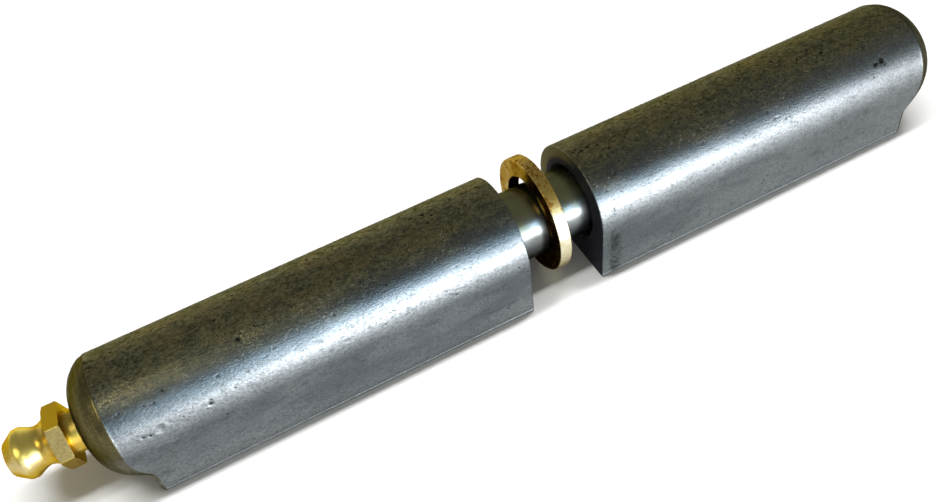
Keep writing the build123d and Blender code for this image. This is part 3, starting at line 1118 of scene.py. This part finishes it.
def bright_brass():
    bench = Bench("nipple_brass")
    places = bench.places()
    x, y, z = bench.axes(places)
    radius = (y * y + z * z) ** 0.5
    cloud = bench.noise(places, 0.5, 4.0, 0.6)
    fine = bench.noise(places, 3.0, 3.0, 0.6)
    rings = bench.noise(bench.stretched(places, (7.0, 0.3, 0.3)), 1.0, 2.0, 0.5)
    base = bench.blend(cloud.rise(0.42, 0.6), BRASS_DEEP, BRASS_PALE)
    waist = 1 - radius.rise(2.8, 3.4)
    base = bench.blend(waist * 0.3 + fine.rise(0.5, 0.65) * 0.35, base, WAIST_DIRT)
    from_nose = x - GREASE_NOSE
    on_head = 1 - from_nose.rise(-6.2, -5.0)
    # A pale patch on the front of the head is a painted highlight.
    painted_head_highlight = on_head * (1 - ((z - 1.6) * (z - 1.6)).rise(0.4, 2.6)) * (1 - y.rise(-2.4, -1.4))
    base = bench.blend(painted_head_highlight * 0.45, base, HEAD_PAINTED_HIGHLIGHT)
    behind_chamfer = from_nose.rise(-8.6, -8.1)
    # The head's top is painted lighter: painted light on the side that mirrors the dim sky.
    base = bench.blend(on_head * behind_chamfer * z.rise(1.8, 2.8), base, HEAD_TOP_PAINTED_LIGHT)
    base = bench.blend(on_head * (1 - z.rise(-0.5, 1.6)) * 0.6, base, HEAD_UNDERSIDE)
    flat = bench.attribute("flat")
    milled = bench.blend(fine.rise(0.4, 0.65), MILLED_LIGHT, MILLED_DARK)
    # The upper flats are painted a brighter gold: painted light.
    milled = bench.blend(y.rise(-1.7, -1.5), milled, MILLED_TOP_PAINTED_LIGHT)
    heights = rings * (1 - flat) + fine * (0.5 + flat)
    return bench.finish(
        Base_Color=bench.blend(flat, base, milled),
        Metallic=1.0,
        Roughness=0.3 + 0.1 * cloud + 0.1 * flat,
        Specular_Tint=BRASS_AT_EDGE,
        Normal=bench.relief(heights, 0.008),
    )


nipple_brass = bright_brass()
paint(nipple, nipple_brass)
print("The nipple's brass has", len(nipple_brass.node_tree.nodes), "nodes")

# %% [markdown]
# ## Light
#
# Metal shows its surroundings, so the room matters more than the lamps. The sky is a plain
# dome, pale at the horizon and dim overhead, which gives the barrels their dark tops. Two
# wide soft boxes stand low in front, a white one and above it a bluer one, and draw the long
# bright band along the barrels. A small warm box at the left lights the nose and the nipple.
# These three show only in the metal. A long strip overhead, which the metal doesn't mirror,
# lights the floor and gives it its small soft shadow.

# %% The room
DOME_HORIZON = (1.0, 1.0, 0.98, 1)
DOME_SHOULDER = (0.28, 0.275, 0.235, 1)
DOME_SHOULDER_PLACE = 0.36
DOME_TOP = (0.19, 0.19, 0.165, 1)


def make_room():
    world = bpy.data.worlds.new("studio")
    bpy.context.scene.world = world
    world.use_nodes = True
    tree = world.node_tree
    tree.nodes.clear()
    coordinates = tree.nodes.new("ShaderNodeTexCoord")
    split = tree.nodes.new("ShaderNodeSeparateXYZ")
    ramp = tree.nodes.new("ShaderNodeValToRGB")
    background = tree.nodes.new("ShaderNodeBackground")
    output = tree.nodes.new("ShaderNodeOutputWorld")
    ramp.color_ramp.interpolation = "EASE"
    ramp.color_ramp.elements[0].color = DOME_HORIZON
    ramp.color_ramp.elements[1].color = DOME_TOP
    ramp.color_ramp.elements.new(DOME_SHOULDER_PLACE).color = DOME_SHOULDER
    tree.links.new(coordinates.outputs["Generated"], split.inputs[0])
    tree.links.new(split.outputs[2], ramp.inputs[0])
    tree.links.new(ramp.outputs[0], background.inputs[0])
    tree.links.new(background.outputs[0], output.inputs[0])


make_room()
print("The dome is palest at the horizon")

# %% The lamps
LAMPS = {
    # azimuth and elevation in degrees, distance, width and height in metres, radiance, tint
    "front_soft_box": (15.5, 9, 1.0, (0.78, 0.33), 14.5, (0.98, 0.99, 1.0)),
    "upper_soft_box": (9, 27, 1.0, (0.78, 0.33), 4.0, (0.56, 0.82, 1.0)),
    "warm_side_box": (-62, 54, 0.8, (0.24, 0.24), 7.0, (1.0, 0.93, 0.66)),
    "high_strip": (180, 82.6, 1.2, (1.2, 0.11), 47.0, (1.0, 1.0, 1.0)),
}
FLOOR_LAMP = "high_strip"


def make_lamp(name, azimuth, elevation, distance, size, radiance, tint):
    """A rectangular soft box that looks at the object's middle."""
    data = bpy.data.lights.new(name, "AREA")
    data.shape = "RECTANGLE"
    data.size, data.size_y = size
    data.energy = radiance * math.pi * size[0] * size[1]
    data.color = tint
    lamp = bpy.data.objects.new(name, data)
    bpy.context.scene.collection.objects.link(lamp)
    a, e = math.radians(azimuth), math.radians(elevation)
    away = Vector((math.sin(a) * math.cos(e), -math.cos(a) * math.cos(e), math.sin(e)))
    lamp.location = away * distance
    lamp.rotation_euler = (-away).to_track_quat("-Z", "Y").to_euler()
    lamp.visible_diffuse = name == FLOOR_LAMP
    lamp.visible_glossy = name != FLOOR_LAMP


for lamp_name, lamp_settings in LAMPS.items():
    make_lamp(lamp_name, *lamp_settings)
print("Lamps:", ", ".join(LAMPS))

# %% [markdown]
# ## Floor
#
# The floor is plain and pale. Where a camera, a mirror or glass looks at it, it also glows
# a little, up to white, while its painted part still takes the object's shadow.

# %% Make the floor
FLOOR_HALF_SIDE = 1.5
FLOOR_GLOW = 0.01
FLOOR_PAINT = 0.8
GLOWS_FOR = ("Is Camera Ray", "Is Glossy Ray", "Is Transmission Ray")


def make_floor():
    bm = bmesh.new()
    bmesh.ops.create_grid(bm, x_segments=1, y_segments=1, size=FLOOR_HALF_SIDE)
    mesh = bpy.data.meshes.new("floor")
    bm.to_mesh(mesh)
    bm.free()
    floor = bpy.data.objects.new("floor", mesh)
    bpy.context.scene.collection.objects.link(floor)
    bench = Bench("floor_paint")
    bench.tree.nodes.remove(bench.shader)
    camera_ray, glossy_ray, transmission_ray = [
        bench.node("ShaderNodeLightPath", output=name) for name in GLOWS_FOR
    ]
    glow_level = (camera_ray + glossy_ray + transmission_ray) * FLOOR_GLOW
    glow_inputs = {"Color": colour(1, 1, 1), "Strength": glow_level}
    glow = bench.node("ShaderNodeEmission", inputs=glow_inputs)
    paint_colour = colour(FLOOR_PAINT, FLOOR_PAINT, FLOOR_PAINT)
    matt = bench.node("ShaderNodeBsdfDiffuse", inputs={"Color": paint_colour})
    both = bench.node("ShaderNodeAddShader", inputs={0: glow, 1: matt})
    bench.feed(bench.tree.nodes["Material Output"].inputs["Surface"], both)
    paint(floor, bench.material)


make_floor()
print("The floor is", 2 * FLOOR_HALF_SIDE, "m wide")

# %% [markdown]
# ## Camera
#
# The picture was taken from close by, so the near nose looks large. The lens stands about
# thirteen centimetres from the hinge, high, a little to the left, and is rolled so that the
# pin climbs across the frame.

# %% Set the camera
CAMERA_AZIMUTH = math.radians(-19.608)
CAMERA_ELEVATION = math.radians(51.008)
CAMERA_ROLL = math.radians(-9.438)
CAMERA_DISTANCE = 128.6
LOOKS_AT = Vector((-10.79, AXIS_Y, AXIS_Z))
FOCAL_PIXELS = 871.0
PICTURE_WIDTH, PICTURE_HEIGHT = 936, 502
OPTICAL_CENTRE = (443.85, 258.98)
SENSOR_WIDTH = 36.0
NEAREST_SEEN = 0.01


def make_camera():
    data = bpy.data.cameras.new("camera")
    data.sensor_width = SENSOR_WIDTH
    data.lens = FOCAL_PIXELS / PICTURE_WIDTH * SENSOR_WIDTH
    data.shift_x = (PICTURE_WIDTH / 2 - OPTICAL_CENTRE[0]) / PICTURE_WIDTH
    data.shift_y = (OPTICAL_CENTRE[1] - PICTURE_HEIGHT / 2) / PICTURE_WIDTH
    data.clip_start = NEAREST_SEEN
    camera = bpy.data.objects.new("camera", data)
    bpy.context.scene.collection.objects.link(camera)
    a, e = CAMERA_AZIMUTH, CAMERA_ELEVATION
    back = Vector((math.sin(a) * math.cos(e), -math.cos(a) * math.cos(e), math.sin(e)))
    level = (-back).cross(Vector((0, 0, 1))).normalized()
    upright = level.cross(-back)
    right = level * math.cos(CAMERA_ROLL) + upright * math.sin(CAMERA_ROLL)
    up = upright * math.cos(CAMERA_ROLL) - level * math.sin(CAMERA_ROLL)
    turned_to = Matrix((right, up, back)).transposed().to_4x4()
    place = (LOOKS_AT + back * CAMERA_DISTANCE) * MM
    camera.matrix_world = Matrix.Translation(place) @ turned_to
    bpy.context.scene.camera = camera
    return camera


camera = make_camera()
bpy.context.scene.view_settings.view_transform = "Standard"
print("The lens is", round(camera.data.lens, 2), "mm")
